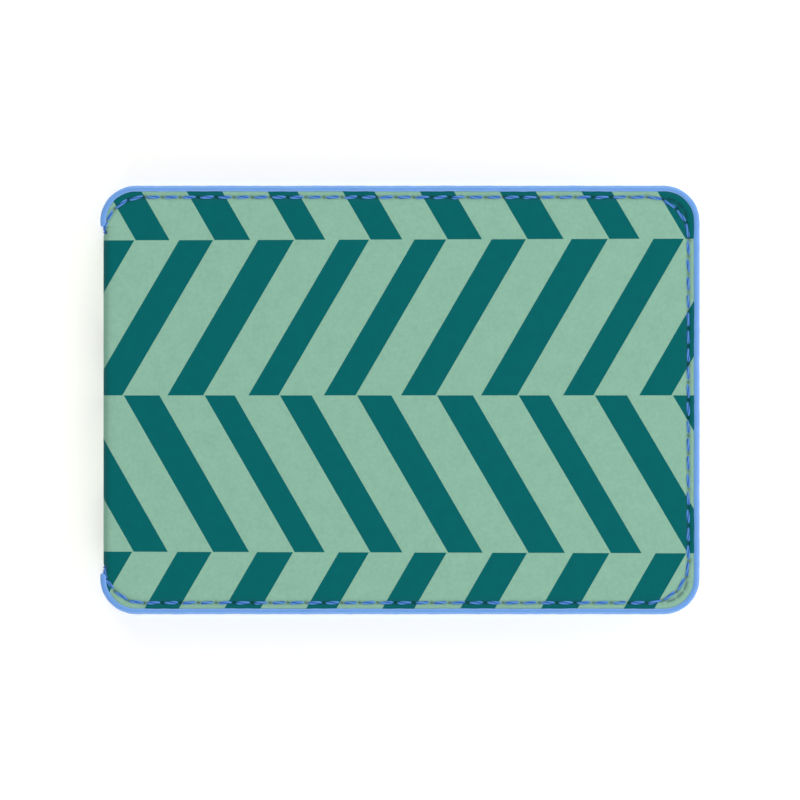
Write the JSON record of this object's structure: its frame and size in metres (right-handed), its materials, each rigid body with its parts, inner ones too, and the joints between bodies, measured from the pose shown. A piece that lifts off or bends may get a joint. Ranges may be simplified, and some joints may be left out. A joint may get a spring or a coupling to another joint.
{
  "type": "bifold card holder",
  "caption": "Bifold card holder in printed leather with stitched, painted edges and stepped card pockets inside each cover.",
  "frame": {"origin": "middle of the closed holder's footprint, on the surface that the back cover rests on", "axes": "+X from the fold to the free edge, +Y along the fold towards the pocket mouths, +Z from the back cover to the front cover"},
  "size_m": [0.104, 0.0744, 0.0107],
  "materials": {
    "printed_leather": "fine-grained, satin, printed with a two-tone chevron",
    "board": "matt",
    "lining_fabric": "fine woven twill",
    "pocket_leather": "fine-grained, satin",
    "edge_paint": "smooth, satin",
    "thread": "twisted thread"
  },
  "bodies": {
    "back_cover": {"shell_back": "printed_leather", "board_back": "board", "lining_back": "lining_fabric", "upper_pocket_back": "pocket_leather", "middle_pocket_back": "pocket_leather", "lower_pocket_back": "pocket_leather", "edge_paint_back": "edge_paint", "seam_stitching_back": "thread", "pocket_stitching_back": "thread"},
    "spine": {"shell_spine": "printed_leather", "lining_spine": "lining_fabric", "edge_paint_spine": "edge_paint", "seam_stitching_spine": "thread"},
    "front_cover": {"shell_front": "printed_leather", "board_front": "board", "lining_front": "lining_fabric", "upper_pocket_front": "pocket_leather", "middle_pocket_front": "pocket_leather", "lower_pocket_front": "pocket_leather", "edge_paint_front": "edge_paint", "seam_stitching_front": "thread", "pocket_stitching_front": "thread"}
  },
  "joints": [
    {"name": "back_fold", "type": "hinge", "parent": "back_cover", "child": "spine", "pos_m": [-0.051, 0, 0.00045], "axis": [0, -1, 0], "range_deg": [0, 90]},
    {"name": "front_fold", "type": "hinge", "parent": "spine", "child": "front_cover", "pos_m": [-0.051, 0, 0.01025], "axis": [0, -1, 0], "range_deg": [0, 90]}
  ],
  "couplings": [
    {"joint": "front_fold", "follows": "back_fold", "ratio": 1}
  ]
}
